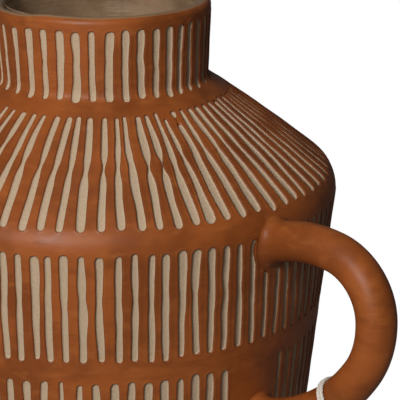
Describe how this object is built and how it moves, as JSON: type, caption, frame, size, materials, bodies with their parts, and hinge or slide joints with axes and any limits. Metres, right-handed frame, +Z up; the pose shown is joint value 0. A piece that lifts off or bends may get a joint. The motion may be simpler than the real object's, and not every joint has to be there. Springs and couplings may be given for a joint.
{
  "type": "hydria jar",
  "caption": "Ceramic water jar with a short neck, sloping shoulder, carved vertical strokes and a round loop handle with a string loop.",
  "frame": {"origin": "middle of the flat base, on the jar's axis, at the level of the table it stands on", "axes": "+Z up along the jar's axis, +X towards the handle"},
  "size_m": [0.2964, 0.228, 0.2714],
  "materials": {
    "pale_clay": "matte fired cream clay",
    "terracotta_slip": "satin burnished terracotta slip",
    "taupe_glaze": "semi-gloss taupe glaze",
    "cotton": "twisted off-white cotton string"
  },
  "bodies": {
    "root": {"base_slab": "pale_clay", "body_wall": "pale_clay", "shoulder": "pale_clay", "neck": "pale_clay", "inner_glaze": "taupe_glaze", "neck_coat": "terracotta_slip", "shoulder_coat": "terracotta_slip", "edge_coat": "terracotta_slip", "upper_coat": "terracotta_slip", "middle_coat": "terracotta_slip", "lower_coat": "terracotta_slip", "handle": "terracotta_slip", "string": "cotton", "string_knot": "cotton"}
  },
  "joints": []
}
